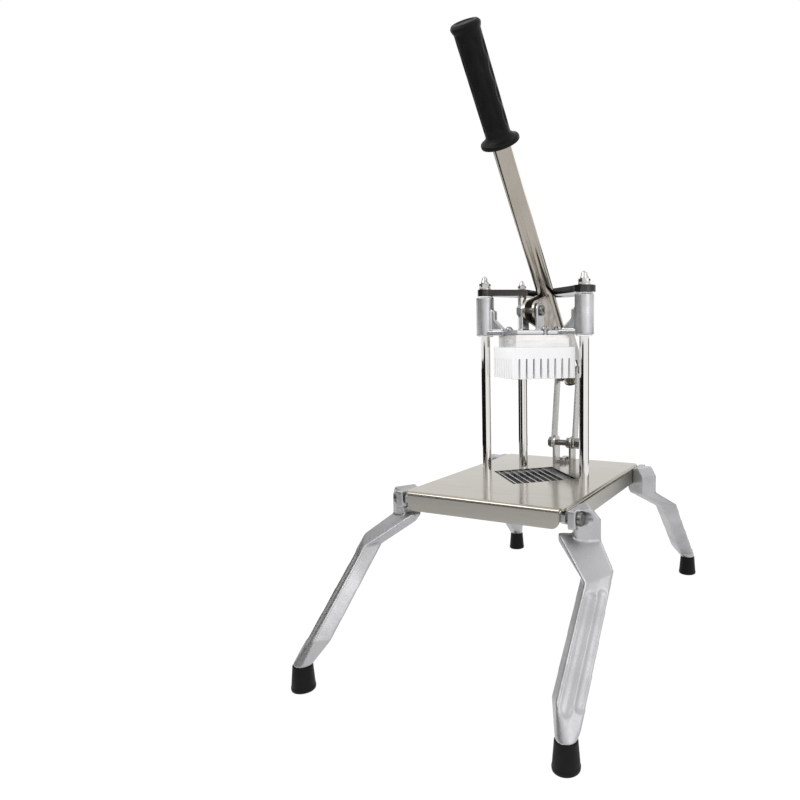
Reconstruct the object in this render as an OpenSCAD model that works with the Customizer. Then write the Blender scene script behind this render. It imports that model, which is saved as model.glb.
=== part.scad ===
// Vertical french fry cutter: a lever press on four bent cast legs.
// X runs to the right, Y to the back, Z up. The origin is on the floor,
// under the middle of the base plate. The lever swings in the plane X = 0.

/* [Base plate] */
// Width of the base plate, left to right
base_w = 200; // [170:1:260]
// Depth of the base plate, front to back
base_d = 270; // [240:1:340]
// Height of the base plate's top above the floor
base_h = 186; // [150:1:240]
// Thickness of the folded sheet
sheet_t = 2.5; // [1.5:0.5:4]
// Height of the folded rim
rim_h = 21; // [16:1:30]
// Distance from a rim's end to the plate's corner
rim_gap = 8; // [5:1:14]
// Outer radius of the sheet's fold
fold_r = 4; // [3:0.5:6]

/* [Blade grid] */
// Pitch of the blades
blade_pitch = 9; // [6:0.5:12]
// Number of blades each way
blade_count = 8; // [4:1:9]
// Thickness of a blade
blade_t = 0.8; // [0.5:0.1:1.2]
// Height of a blade
blade_h = 5.5; // [4:0.5:7]
// Distance of the grid's middle behind the plate's middle
grid_y = 6; // [0:1:12]

/* [Guide rods and tie plate] */
// Diameter of a rod
rod_d = 12; // [10:0.5:14]
// Distance of each side rod from the middle plane
rod_x = 67; // [66:1:74]
// Distance of the back rod from the middle plane
back_rod_x = 34; // [33:1:40]
// Distance of the back rod behind the side rods
back_rod_y = 40; // [34:1:48]
// Free length of the rods, from the base plate to the tie plate
rod_len = 225; // [225:1:260]
// Thread diameter at the ends of the side rods
thread_d = 8; // [6:1:9]
// Thread diameter at the top of the back rod
back_thread_d = 6; // [5:1:8]
// Thickness of the tie plate
tie_t = 8; // [6:1:10]

/* [Crosshead] */
// Outer diameter of a guide boss
boss_d = 23; // [20:1:26]
// Length of a guide boss
boss_len = 48; // [42:1:54]
// Thickness of the crosshead's flange
flange_t = 6; // [5:0.5:8]
// Height of the lever pivot above the underside of the crosshead
pivot_up = 30; // [28:1:34]
// Distance of the lever pivot in front of the grid's middle
pivot_front = 2.5; // [0:0.5:6]
// Diameter of the lever pivot
pivot_d = 8; // [6:1:9]

/* [Pusher] */
// Height of the white pusher block
pusher_h = 37.5; // [34:0.5:44]
// Depth of the slots between the fingers
finger_h = 24; // [18:1:28]
// Width of a slot between two fingers
finger_gap = 2.2; // [1.8:0.2:3]
// Gap between the pusher and each wall of the blade opening
pusher_gap = 1; // [0.6:0.2:2]
// Height of the aluminium holder above the pusher
holder_h = 14.5; // [10:0.5:16]

/* [Lever] */
// Lean of the lever from upright, at rest
lever_tilt = 38; // [34:0.5:40]
// Outer diameter of the lever tube
tube_d = 22; // [20:0.5:24]
// Wall of the lever tube
tube_wall = 1.8; // [1.2:0.2:3]
// Length of the lever, from the tail pin to the top of the grip
lever_len = 444; // [380:1:500]
// Distance of the tail pin behind the lever pivot
tail_back = 120.5; // [112:0.5:124]
// Drop of the tail pin below the lever pivot
tail_drop = 77; // [73:1:84]
// Thickness of each cheek plate
cheek_t = 3; // [2:0.5:3.5]
// Thickness of each tail plate, beside the tube's lower end
tail_plate_t = 2.5; // [2:0.5:3.5]

/* [Links] */
// Height of the links' lower bolt above the base plate
link_bolt_up = 26; // [24:1:34]
// Distance of the links' lower bolt behind the lever pivot
link_back = 104.5; // [98:0.5:110]
// Thickness of a link
link_t = 3; // [2:0.5:4]
// Width of a link
link_w = 16; // [14:1:20]

/* [Grip] */
// Length of the rubber grip
grip_len = 121; // [100:1:140]
// Diameter of the grip's body
grip_d = 28; // [26:0.5:32]
// Diameter of the collar at the grip's lower end
collar_d = 44; // [38:1:50]
// Diameter of the grip's top end
grip_end_d = 32; // [30:1:38]

/* [Legs and feet] */
// Distance of a foot beside the plate's edge
foot_out_x = 45; // [36:1:60]
// Distance of a foot in front of, or behind, the plate's edge
foot_out_y = 113; // [90:1:130]
// Width of a leg at its head
leg_w = 28; // [25:1:31]
// Depth of a leg at its head
leg_deep = 26; // [22:1:30]
// Width of a leg at its knee
knee_w = 29; // [25:1:32]
// Width of a leg at its ankle
ankle_w = 30; // [25:1:32]
// Depth of a leg's shin, measured level
shin_deep = 22; // [18:0.5:26]
// Diameter of a rubber foot at the floor
foot_d = 25; // [22:1:32]
// Height of a rubber foot
foot_h = 26; // [22:1:30]

/* [Hidden] */
$fn = 64;
hull_fn = 32;
// One overrun serves all cuts
over = 1;
// Clearance of a bolt or stud in its hole
bolt_fit = 0.3;
// Radial running clearance of a pin or a bush
run_fit = 0.05;
// Clearance between pieces that move past each other
side_fit = 0.5;

// Fasteners, each from its thread diameter
washer_d_share = 2;
washer_t = 1.6;
nut_w_share = 1.6;
nut_w = nut_w_share * thread_d;
nut_h_share = 0.8;
nut_h = nut_h_share * thread_d;
dome_h_share = 1;
leg_bolt_d = 8;
leg_bolt_head = 14;
leg_bolt_head_h = 5;
screw_d = 5;
screw_head = 9;
screw_head_h = 3.2;

// Levels
plate_z = base_h;
under_z = plate_z - sheet_t;
rim_z = plate_z - rim_h;
tie_z = plate_z + rod_len;
bush_rim = 1.6;
top_gap = 0.4;
head_z = tie_z - top_gap - bush_rim - boss_len;
flange_z = head_z + flange_t;
holder_z = head_z - holder_h;
pusher_z = holder_z - pusher_h;
pivot_z = head_z + pivot_up;
tail_z = pivot_z - tail_drop;
link_z = plate_z + link_bolt_up;

// Plan places
side_y = grid_y;
back_y = side_y + back_rod_y;
pivot_y = grid_y - pivot_front;
tail_y = pivot_y + tail_back;
link_y = pivot_y + link_back;
rod_places = [[-rod_x, side_y], [rod_x, side_y], [-back_rod_x, back_y]];
top_threads = [thread_d, thread_d, back_thread_d];

// Blade opening, frame and pusher, all squares that stand on a corner
opening_w = blade_pitch * (blade_count + 1);
frame_wall = 3.5;
frame_w = opening_w + 2 * frame_wall;
frame_h = 2 * blade_h + over;
frame_ear = 22;
frame_ear_t = 4;
stud_d = 5;
stud_reach = 8.5;
thumb_d = 14;
thumb_h = 8;
pusher_w = opening_w - 2 * pusher_gap;
holder_inset = 11;
holder_w = pusher_w - holder_inset;
flange_inset = 4;
flange_w = holder_w - flange_inset;
square_back = 24;
holder_screw_x = 24;
holder_screw_y = 18;
holder_screw_len = holder_h + flange_t + pusher_h - finger_h - screw_d;

// Crosshead
arm_w = 18;
rib_t = 8;
rib_h = 32;
rib_waist_h = 20;
lug_t = 3.5;
lug_r = 9.5;
bush_d = 16;
bush_rim_d = 20;
bush_len = 14;

// Grip
collar_t = 7;
collar_edge = 2;
grip_end_t = 6;
grip_swell = 1;

// Lever: cheeks in front of the tube, tail plates on its sides
cheek_in = 4.8;
cheek_out = cheek_in + cheek_t;
lug_in = cheek_out + side_fit;
ear_r = 12;
cheek_top = 128;
cheek_low = 50;
tail_in = tube_d / 2;
tail_out = tail_in + tail_plate_t;
tail_pin_d = 8;
tail_slot_w = 12.8;
tail_slot_half = 9.5;
tail_end = 18.5;
tail_wing = 10;
tail_wing_low = 16;
tail_wing_top = 46;
tail_top = 66;
plug_t = 2.5;

// Tie plate, in plan
tie_pad_left = 9.5;
tie_pad_right = 13.5;
slot_half = 17;
slot_wall = 12;
slot_front = 22;
slot_gap = 5;

// Links and their bracket
link_in = tail_out + side_fit;
link_out = link_in + link_t;
link_hole = 8;
bracket_t = 3;
bracket_w = 20;
bracket_foot = 26;
bracket_top_r = 10;
link_bolt_head_h = 5;
pin_head_d = 12;
pin_head_h = 2;

// Legs: plan places of the outer face's middle, measured from the plate's corner or the foot
leg_turn = 45;
head_turn = 60;
head_out_x = 18.5;
head_in_y = 13.5;
head_top = 0.5;
head_drop = 35;
head_cut = 2;
seam = 0.3;
shoulder_off = 2.5;
web_back = 12.3;
web_side = 28.8;
web_w = 4;
web_h = 8;
knee_share = 0.946;
knee_out_y = 17.6;
knee_up = 128.5;
knee_mitre = 0.22;
ankle_up = 41;
ankle_out_x = 2.1;
ankle_in_y = 4.4;
ankle_mitre = -0.571;
back_cut = 4.7;
slice_t = 1;
edge_cut = 2;
crown = 1.5;
front_shoulder = 10;
back_shoulder = 48;
leg_bolt_drop = 10;
leg_bolt_z = plate_z - leg_bolt_drop;
leg_bolt_y = 10;
leg_bolt_seat = 9;
seat_d = 15;
spigot_d = 15;
spigot_h = 18;
neck_d = 19;
flute_r = 10;
flute_deep = 1.4;
flute_high_share = 0.14;
flute_low_share = 0.93;
cup_top_d = 20;
cup_lip = 3;

// A rod, bore or bolt along X, from x0 to x1
module x_cylinder(d, x0, x1) {
    translate([x0, 0, 0]) rotate([0, 90, 0]) cylinder(h = x1 - x0, d = d);
}

// A hexagon of a given width across its flats
module hexagon(w, h) {
    cylinder(h = h, d = w / cos(30), $fn = 6);
}

// A square that stands on one corner, centred on the grid, cut off at its back
module corner_square(w, h, back = base_d) {
    translate([0, grid_y, 0]) intersection() {
        rotate([0, 0, 45]) translate([-w / 2, -w / 2, 0]) cube([w, w, h]);
        translate([-w, -w, 0]) cube([2 * w, w + back, h]);
    }
}

// Rows of thin slabs across the grid, turned to lie along the grid's sides
module grid_rows(turn, length, t, h) {
    first = -(blade_count - 1) / 2;
    translate([0, grid_y, 0]) rotate([0, 0, turn])
        for (i = [0 : blade_count - 1])
            translate([-length / 2, (first + i) * blade_pitch - t / 2, 0]) cube([length, t, h]);
}

// The lever's own frame: the tail pin is the origin and the tube runs up +Z
module lever_frame() {
    translate([0, tail_y, tail_z]) rotate([lever_tilt, 0, 0]) children();
}

// Where a point of the lever plane lies in the lever's own frame
function to_lever(y, z) =
    let (dy = y - tail_y, dz = z - tail_z)
    [dy * cos(lever_tilt) + dz * sin(lever_tilt), dz * cos(lever_tilt) - dy * sin(lever_tilt)];

// Places a leg piece, made for the front right corner, at any corner
module at_corner(side, end) {
    scale([side, -end, 1]) children();
}

// One side's fold: rim wall with rounded lower corners, and the bend above it
module rim(length) {
    wall_h = rim_h - fold_r;
    translate([-length / 2, -fold_r, 0]) {
        translate([0, 0, rim_z]) rotate([90, 0, 90]) linear_extrude(length) fold_section(wall_h);
    }
}

// Section of the fold, with the rim wall below the bend
module fold_section(wall_h) {
    translate([0, wall_h]) intersection() {
        difference() {
            circle(r = fold_r);
            circle(r = fold_r - sheet_t);
        }
        translate([-fold_r, 0]) square([fold_r, fold_r]);
    }
    translate([-fold_r, 0]) square([sheet_t, wall_h]);
}

// Rounds the lower corners of a rim
module rim_corner_cut(length) {
    cut = rim_h - fold_r;
    for (s = [-1, 1]) scale([s, 1, 1])
        translate([length / 2 - cut / 2, over, rim_z + cut / 2]) rotate([90, 0, 0]) difference() {
            translate([0, -cut / 2 - over, 0]) cube([cut / 2 + over, cut / 2 + over, fold_r + 2 * over]);
            translate([0, 0, -over]) cylinder(h = fold_r + 4 * over, d = cut);
        }
}

module base_plate() {
    color([0.72, 0.70, 0.67]) difference() {
        union() {
            translate([-base_w / 2 + fold_r, -base_d / 2 + fold_r, under_z])
                cube([base_w - 2 * fold_r, base_d - 2 * fold_r, sheet_t]);
            for (e = [-1, 1]) scale([1, e, 1]) translate([0, -base_d / 2 + 2 * fold_r, 0])
                rounded_rim(base_w - 2 * rim_gap);
            for (s = [-1, 1]) scale([s, 1, 1]) rotate([0, 0, 90])
                translate([0, -base_w / 2 + 2 * fold_r, 0]) rounded_rim(base_d - 2 * rim_gap);
        }
        translate([0, 0, under_z - over]) corner_square(opening_w, sheet_t + 2 * over);
        for (p = rod_places)
            translate([p[0], p[1], under_z - over]) cylinder(h = sheet_t + 2 * over, d = thread_d + bolt_fit);
        for (p = bracket_places())
            translate([p[0], p[1], under_z - over]) cylinder(h = sheet_t + 2 * over, d = screw_d + bolt_fit);
        for (s = [-1, 1], e = [-1, 1]) at_corner(s, e) leg_bolt_axis()
            x_cylinder(leg_bolt_d + bolt_fit, -sheet_t - over, over);
    }
}

module rounded_rim(length) {
    difference() {
        rim(length);
        translate([0, -fold_r, 0]) rim_corner_cut(length);
    }
}

function bracket_places() = [[0, link_y - bracket_w / 4], [0, link_y + bracket_w / 4]];

// The leg bolt's axis crosses the plate's side rim
module leg_bolt_axis() {
    translate([base_w / 2, -base_d / 2 + leg_bolt_y, leg_bolt_z]) children();
}

// Middle of the outer face where the head ends, at the knee and at the ankle
function head_at() = [base_w / 2 + head_out_x, -base_d / 2 + head_in_y, plate_z - head_drop];
function knee_at() = [base_w / 2 + foot_out_x * knee_share, -base_d / 2 - knee_out_y, knee_up];
function ankle_at() = [base_w / 2 + foot_out_x + ankle_out_x, -base_d / 2 - foot_out_y + ankle_in_y, ankle_up];

// How far the shin runs outwards, and sideways, for each unit that it rises
function shin_out() = let (v = knee_at() - ankle_at()) v * [cos(leg_turn), -sin(leg_turn), 0] / v[2];
function shin_side() = let (v = knee_at() - ankle_at()) v * [sin(leg_turn), cos(leg_turn), 0] / v[2];

// Section of a leg: its outer face has a shallow crown, and its edges are cut
module leg_outline(w, deep, cut) {
    polygon([[-deep, -w / 2 + cut], [-edge_cut - crown, -w / 2], [-crown, -w / 2 + edge_cut], [0, 0],
             [-crown, w / 2 - edge_cut], [-edge_cut - crown, w / 2], [-deep, w / 2 - cut]]);
}

// The head's upright block, or a slice that lies just inside it
module head_slice(h, inset = 0) {
    translate(head_at()) rotate([0, 0, -head_turn]) translate([-inset, 0, 0])
        linear_extrude(h) leg_outline(leg_w - 2 * inset, leg_deep - 2 * inset, head_cut);
}

// A thin slice of the shin that is mitred along the shin, one side up and the other down
module shin_slice(at, w, mitre) {
    translate(at) rotate([0, 0, -leg_turn])
        multmatrix([[1, shin_out() * mitre, 0, 0], [0, 1 + shin_side() * mitre, 0, 0], [0, mitre, 1, 0]])
            linear_extrude(slice_t) leg_outline(w, shin_deep, back_cut);
}

// A cutter that slopes down on both sides of the head's apex
module head_top_cut() {
    reach = 2 * leg_w;
    translate([-2 * leg_deep, 0, 0]) rotate([90, 0, 90]) linear_extrude(4 * leg_deep) polygon([
        [-reach, -reach * tan(front_shoulder)], [0, 0], [reach, -reach * tan(back_shoulder)],
        [reach, reach], [-reach, reach]]);
}

module leg() {
    foot_x = base_w / 2 + foot_out_x;
    foot_y = -base_d / 2 - foot_out_y;
    color([0.74, 0.74, 0.74]) difference() {
        union() {
            head_slice(head_drop + head_top + over);
            hull() {
                translate([0, 0, over]) head_slice(slice_t, seam);
                translate(head_at()) rotate([0, 0, -head_turn])
                    translate([-web_back, -web_side, 0]) cube([web_w, web_w, web_h]);
                shin_slice(knee_at(), knee_w, knee_mitre);
            }
            hull() {
                shin_slice(knee_at(), knee_w, knee_mitre);
                shin_slice(ankle_at(), ankle_w, ankle_mitre);
            }
            hull() {
                shin_slice(ankle_at(), ankle_w, ankle_mitre);
                translate([foot_x, foot_y, foot_h]) cylinder(h = slice_t, d = neck_d, $fn = hull_fn);
            }
            translate([foot_x, foot_y, foot_h - spigot_h]) cylinder(h = spigot_h + slice_t, d = spigot_d);
            leg_bolt_axis() x_cylinder(seat_d, 0, leg_bolt_seat);
        }
        // The head is cut to sit on the rim and under it
        translate([-base_w / 2, -base_d / 2, rim_z]) cube([base_w, base_d, rim_h + head_top + over]);
        translate(head_at() + [0, 0, head_drop + head_top]) rotate([0, 0, -head_turn])
            translate([0, shoulder_off, 0]) head_top_cut();
        leg_bolt_axis() x_cylinder(leg_bolt_d + bolt_fit, -over, leg_bolt_seat + leg_deep);
        leg_bolt_axis() x_cylinder(leg_bolt_head + bolt_fit, leg_bolt_seat, leg_bolt_seat + leg_deep);
        // Two shallow flutes down the shin
        for (s = [-1, 1]) hull() {
            flute_end(flute_high_share, s * knee_w / 4);
            flute_end(flute_low_share, s * ankle_w / 4);
        }
    }
}

// A flute's end, a ball sunk into the outer face at a share of the way down the shin
module flute_end(share, off) {
    translate(knee_at() + share * (ankle_at() - knee_at()))
        rotate([0, 0, -leg_turn]) rotate([0, atan(shin_out()), 0])
            translate([flute_r - flute_deep - crown / 2, off, 0]) sphere(r = flute_r, $fn = hull_fn);
}

module foot() {
    foot_x = base_w / 2 + foot_out_x;
    foot_y = -base_d / 2 - foot_out_y;
    floor_t = foot_h - spigot_h;
    color([0.06, 0.06, 0.06]) translate([foot_x, foot_y, 0]) rotate_extrude() polygon([
        [0, 0], [foot_d / 2 - cup_lip, 0], [foot_d / 2 - cup_lip / 3, cup_lip / 3],
        [foot_d / 2, cup_lip], [cup_top_d / 2, foot_h - cup_lip / 3],
        [cup_top_d / 2 - cup_lip / 3, foot_h], [spigot_d / 2, foot_h],
        [spigot_d / 2, floor_t], [0, floor_t]]);
}

module leg_bolts() {
    color([0.55, 0.55, 0.55]) for (s = [-1, 1], e = [-1, 1]) at_corner(s, e) leg_bolt_axis() {
        x_cylinder(leg_bolt_d, -sheet_t - leg_bolt_d * nut_h_share - over, leg_bolt_seat);
        x_cylinder(leg_bolt_head, leg_bolt_seat, leg_bolt_seat + leg_bolt_head_h);
    }
}

module leg_nuts() {
    h = leg_bolt_d * nut_h_share;
    color([0.60, 0.60, 0.60]) for (s = [-1, 1], e = [-1, 1]) at_corner(s, e) leg_bolt_axis()
        translate([-sheet_t - h, 0, 0]) rotate([0, 90, 0]) difference() {
            hexagon(nut_w_share * leg_bolt_d, h);
            translate([0, 0, -over]) cylinder(h = h + 2 * over, d = leg_bolt_d);
        }
}

// A rod with a threaded stud at each end
module rod(top_d) {
    low = sheet_t + washer_t + nut_h + over;
    translate([0, 0, plate_z]) cylinder(h = rod_len, d = rod_d);
    translate([0, 0, plate_z - low]) cylinder(h = low + rod_len / 2, d = thread_d);
    translate([0, 0, tie_z - rod_d]) cylinder(h = rod_d + tie_t + washer_t + stud_top(top_d), d = top_d);
}

// How far a stud stands up into its cap nut
function stud_top(d) = nut_h_share * d + dome_h_share * d / 2;

module place_rod(i) {
    color([0.80, 0.80, 0.80]) translate([rod_places[i][0], rod_places[i][1], 0]) rod(top_threads[i]);
}

module washer(d, bore, t) {
    difference() {
        cylinder(h = t, d = d);
        translate([0, 0, -over]) cylinder(h = t + 2 * over, d = bore);
    }
}

module rod_base_washers() {
    color([0.70, 0.70, 0.70]) for (p = rod_places)
        translate([p[0], p[1], under_z - washer_t]) washer(nut_w + washer_t, thread_d + bolt_fit, washer_t);
}

module rod_base_nuts() {
    color([0.66, 0.66, 0.66]) for (p = rod_places)
        translate([p[0], p[1], under_z - washer_t - nut_h]) difference() {
            hexagon(nut_w, nut_h);
            translate([0, 0, -over]) cylinder(h = nut_h + 2 * over, d = thread_d);
        }
}

// The tie plate reaches back from each side rod and joins behind the lever
module tie_plate() {
    slot_end = tail_y - (tie_z - tail_z) * tan(lever_tilt) + tube_d / 2 / cos(lever_tilt) + slot_gap;
    arm_x = back_rod_x + slot_wall;
    color([0.42, 0.42, 0.43]) difference() {
        union() {
            translate([0, 0, tie_z]) linear_extrude(tie_t) polygon([
                [-rod_x, side_y - tie_pad_left], [-slot_half, side_y + slot_front],
                [-slot_half, slot_end], [slot_half, slot_end], [slot_half, side_y + slot_front],
                [rod_x, side_y - tie_pad_right], [rod_x, side_y + tie_pad_right],
                [arm_x, back_y + slot_wall / 2], [slot_half + slot_gap, slot_end + slot_wall],
                [-slot_half - slot_gap, slot_end + slot_wall], [-arm_x, back_y + slot_wall / 2],
                [-rod_x, side_y + tie_pad_left]]);
            translate([-rod_x, side_y, tie_z]) cylinder(h = tie_t, r = tie_pad_left);
            translate([rod_x, side_y, tie_z]) cylinder(h = tie_t, r = tie_pad_right);
        }
        for (i = [0 : 2]) translate([rod_places[i][0], rod_places[i][1], tie_z - over])
            cylinder(h = tie_t + 2 * over, d = top_threads[i] + bolt_fit);
    }
}

module tie_washers() {
    color([0.78, 0.78, 0.78]) for (i = [0 : 2]) translate([rod_places[i][0], rod_places[i][1], tie_z + tie_t])
        washer(washer_d_share * top_threads[i], top_threads[i] + bolt_fit, washer_t);
}

module cap_nuts() {
    color([0.85, 0.85, 0.85]) for (i = [0 : 2])
        translate([rod_places[i][0], rod_places[i][1], tie_z + tie_t + washer_t]) cap_nut(top_threads[i]);
}

// A domed nut for a given thread
module cap_nut(d) {
    w = nut_w_share * d;
    nut = nut_h_share * d;
    neck = dome_h_share * d - w / 2 + over;
    difference() {
        union() {
            hexagon(w, nut);
            translate([0, 0, nut]) cylinder(h = neck, d = w);
            translate([0, 0, nut + neck]) intersection() {
                sphere(d = w);
                cylinder(h = w, d = w);
            }
        }
        translate([0, 0, -over]) cylinder(h = stud_top(d) + over, d = d);
    }
}

// The blade frame hangs under the sheet, with its two side corners cut short for the rod nuts
module blade_frame() {
    low = under_z - frame_h;
    cut = rod_x - nut_w / cos(30) / 2 - side_fit;
    color([0.75, 0.75, 0.76]) difference() {
        union() {
            intersection() {
                translate([0, 0, low]) corner_square(frame_w, frame_h);
                translate([-cut, -base_d / 2, low]) cube([2 * cut, base_d, frame_h]);
            }
            for (p = ear_places()) translate([p[0], p[1], under_z - frame_ear_t])
                cylinder(h = frame_ear_t, d = frame_ear);
        }
        translate([0, 0, low - over]) corner_square(opening_w, frame_h + 2 * over);
        translate([0, 0, low + blade_h]) grid_rows(-45, frame_w + over, blade_t, blade_h);
        translate([0, 0, low]) grid_rows(45, frame_w + over, blade_t, blade_h);
        for (p = ear_places()) translate([p[0], p[1], under_z - frame_ear_t - over])
            cylinder(h = frame_ear_t + 2 * over, d = stud_d + bolt_fit);
    }
}

function ear_places() =
    let (reach = frame_w * sqrt(2) / 2 + stud_reach)
    [[0, grid_y - reach], [0, grid_y + reach]];

module blades_upper() {
    color([0.85, 0.86, 0.87]) translate([0, 0, under_z - frame_h + blade_h])
        grid_rows(-45, frame_w, blade_t, blade_h);
}

module blades_lower() {
    color([0.80, 0.81, 0.82]) translate([0, 0, under_z - frame_h])
        grid_rows(45, frame_w, blade_t, blade_h);
}

module frame_studs() {
    reach = frame_ear_t + thumb_h + 2 * over;
    color([0.70, 0.70, 0.70]) for (p = ear_places())
        translate([p[0], p[1], under_z - reach]) cylinder(h = reach, d = stud_d);
}

module frame_thumb_nuts() {
    color([0.15, 0.15, 0.15]) for (p = ear_places())
        translate([p[0], p[1], under_z - frame_ear_t - thumb_h]) washer(thumb_d, stud_d, thumb_h);
}

module link_bracket() {
    top = link_z - plate_z;
    half = tail_out;
    color([0.68, 0.67, 0.65]) difference() {
        translate([0, link_y, plate_z]) {
            translate([-half, -bracket_w / 2, 0]) cube([2 * half, bracket_w, bracket_t]);
            for (s = [-1, 1]) scale([s, 1, 1]) {
                translate([half - bracket_t, -bracket_w / 2, 0]) cube([bracket_t, bracket_w, top]);
                translate([0, 0, top]) x_cylinder(bracket_w, half - bracket_t, half);
            }
        }
        translate([0, link_y, link_z]) x_cylinder(link_hole + bolt_fit, -half - over, half + over);
        for (p = bracket_places()) translate([p[0], p[1], plate_z - over])
            cylinder(h = bracket_t + 2 * over, d = screw_d + bolt_fit);
    }
}

module bracket_screws() {
    nut_t = screw_d * nut_h_share;
    reach = sheet_t + nut_t + over;
    color([0.60, 0.60, 0.60]) for (p = bracket_places()) translate([p[0], p[1], plate_z]) {
        translate([0, 0, bracket_t]) cylinder(h = screw_head_h, d = screw_head);
        translate([0, 0, -reach]) cylinder(h = reach + bracket_t, d = screw_d);
        translate([0, 0, -sheet_t - nut_t]) cylinder(h = nut_t, d = screw_head);
    }
}

module link_bolt() {
    nut_t = link_hole * nut_h_share;
    color([0.58, 0.58, 0.58]) translate([0, link_y, link_z]) {
        x_cylinder(link_hole, -link_out - side_fit, link_out + side_fit + nut_t + over);
        translate([-link_out - side_fit - link_bolt_head_h, 0, 0]) rotate([0, 90, 0])
            hexagon(nut_w_share * link_hole, link_bolt_head_h);
    }
}

module link_bolt_nuts() {
    nut_t = link_hole * nut_h_share;
    color([0.55, 0.55, 0.55]) translate([0, link_y, link_z])
        for (x = [link_out + side_fit, tail_out - bracket_t - nut_t])
            translate([x, 0, 0]) rotate([0, 90, 0]) difference() {
                hexagon(nut_w_share * link_hole, nut_t);
                translate([0, 0, -over]) cylinder(h = nut_t + 2 * over, d = link_hole);
            }
}

// The rib that ties a guide boss to the flange, drawn from the boss inwards
module boss_rib() {
    root = rod_x - boss_d / 4;
    top = rod_x - boss_d / 2 - rib_t / 2;
    low = top - rib_waist_h + flange_t;
    bow = rib_h - rib_waist_h;
    translate([0, side_y + rib_t / 2, head_z]) rotate([90, 0, 0]) linear_extrude(rib_t) difference() {
        polygon([[root, 0], [root, rib_h], [top + rib_t / 4, rib_h], [top, rib_h - rib_t / 4],
                 [top, rib_waist_h], [low, flange_t], [low, 0]]);
        translate([top - bow, rib_waist_h + bow]) circle(r = bow);
    }
}

module crosshead() {
    color([0.72, 0.72, 0.73]) difference() {
        union() {
            for (s = [-1, 1]) {
                translate([s * rod_x, side_y, head_z]) cylinder(h = boss_len, d = boss_d);
                scale([s, 1, 1]) boss_rib();
                scale([s, 1, 1]) translate([lug_in, 0, 0]) lug();
            }
            translate([0, 0, head_z]) corner_square(flange_w, flange_t, square_back);
            translate([-rod_x, side_y - arm_w / 2, head_z]) cube([2 * rod_x, arm_w, flange_t]);
        }
        for (s = [-1, 1]) translate([s * rod_x, side_y, head_z - over])
            cylinder(h = boss_len + 2 * over, d = bush_d);
        for (p = holder_screw_places()) translate([p[0], p[1], head_z - over])
            cylinder(h = flange_t + 2 * over, d = screw_d + bolt_fit);
        translate([0, pivot_y, pivot_z])
            x_cylinder(pivot_d + bolt_fit, -lug_in - lug_t - over, lug_in + lug_t + over);
    }
}

module lug() {
    translate([0, pivot_y - lug_r, head_z]) cube([lug_t, 2 * lug_r, pivot_up]);
    translate([0, pivot_y, pivot_z]) x_cylinder(2 * lug_r, 0, lug_t);
}

function holder_screw_places() =
    [for (s = [-1, 1], e = [-1, 1]) [s * holder_screw_x, grid_y + e * holder_screw_y]];

module guide_bushes() {
    color([0.93, 0.92, 0.88]) for (s = [-1, 1], e = [0, 1])
        translate([s * rod_x, side_y, head_z + e * boss_len]) scale([1, 1, e > 0 ? 1 : -1]) difference() {
            union() {
                cylinder(h = bush_rim, d = bush_rim_d);
                translate([0, 0, -bush_len]) cylinder(h = bush_len, d = bush_d);
            }
            translate([0, 0, -bush_len - over])
                cylinder(h = bush_len + bush_rim + 2 * over, d = rod_d + 2 * run_fit);
        }
}

module pusher_holder() {
    color([0.86, 0.86, 0.86]) difference() {
        translate([0, 0, holder_z]) corner_square(holder_w, holder_h, square_back + over);
        for (p = holder_screw_places()) translate([p[0], p[1], holder_z - over])
            cylinder(h = holder_h + 2 * over, d = screw_d + bolt_fit);
    }
}

module pusher_block() {
    color([0.95, 0.95, 0.95]) difference() {
        translate([0, 0, pusher_z]) corner_square(pusher_w, pusher_h);
        translate([0, 0, pusher_z - over]) {
            grid_rows(45, 2 * pusher_w, finger_gap, finger_h + over);
            grid_rows(-45, 2 * pusher_w, finger_gap, finger_h + over);
        }
        for (p = holder_screw_places()) translate([p[0], p[1], flange_z - holder_screw_len])
            cylinder(h = holder_screw_len, d = screw_d);
    }
}

module holder_screws() {
    color([0.80, 0.80, 0.80]) for (p = holder_screw_places()) translate([p[0], p[1], flange_z]) {
        translate([0, 0, -holder_screw_len]) cylinder(h = holder_screw_len, d = screw_d);
        cylinder(h = washer_t, d = screw_head + washer_t);
        translate([0, 0, washer_t]) intersection() {
            translate([0, 0, screw_head_h - screw_head / 2]) sphere(d = screw_head);
            cylinder(h = screw_head, d = screw_head);
        }
    }
}

module pivot_bolt() {
    reach = lug_in + lug_t;
    nut_t = pivot_d * nut_h_share;
    color([0.62, 0.62, 0.62]) translate([0, pivot_y, pivot_z]) difference() {
        union() {
            x_cylinder(pivot_d, -reach - nut_t - over, reach);
            x_cylinder(nut_w_share * pivot_d, reach, reach + nut_t / 2);
        }
        x_cylinder(pivot_d / 2, reach, reach + nut_t);
    }
}

module pivot_nut() {
    nut_t = pivot_d * nut_h_share;
    color([0.58, 0.58, 0.58]) translate([-lug_in - lug_t - nut_t, pivot_y, pivot_z])
        rotate([0, 90, 0]) difference() {
            hexagon(nut_w_share * pivot_d, nut_t);
            translate([0, 0, -over]) cylinder(h = nut_t + 2 * over, d = pivot_d);
        }
}

// The slot in the lever's tail, in which the tail pin shifts along the lever
module tail_slot(x0, x1) {
    for (z = [-tail_slot_half, tail_slot_half]) translate([0, 0, z]) x_cylinder(tail_slot_w, x0, x1);
    translate([x0, -tail_slot_w / 2, -tail_slot_half]) cube([x1 - x0, tail_slot_w, 2 * tail_slot_half]);
}

module lever_tube() {
    top = lever_len - grip_wall();
    color([0.76, 0.75, 0.72]) lever_frame() difference() {
        translate([0, 0, -tail_end]) cylinder(h = tail_end + top, d = tube_d);
        translate([0, 0, -tail_end - over]) cylinder(h = tail_end + top + 2 * over, d = tube_d - 2 * tube_wall);
        tail_slot(-tube_d, tube_d);
    }
}

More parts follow.
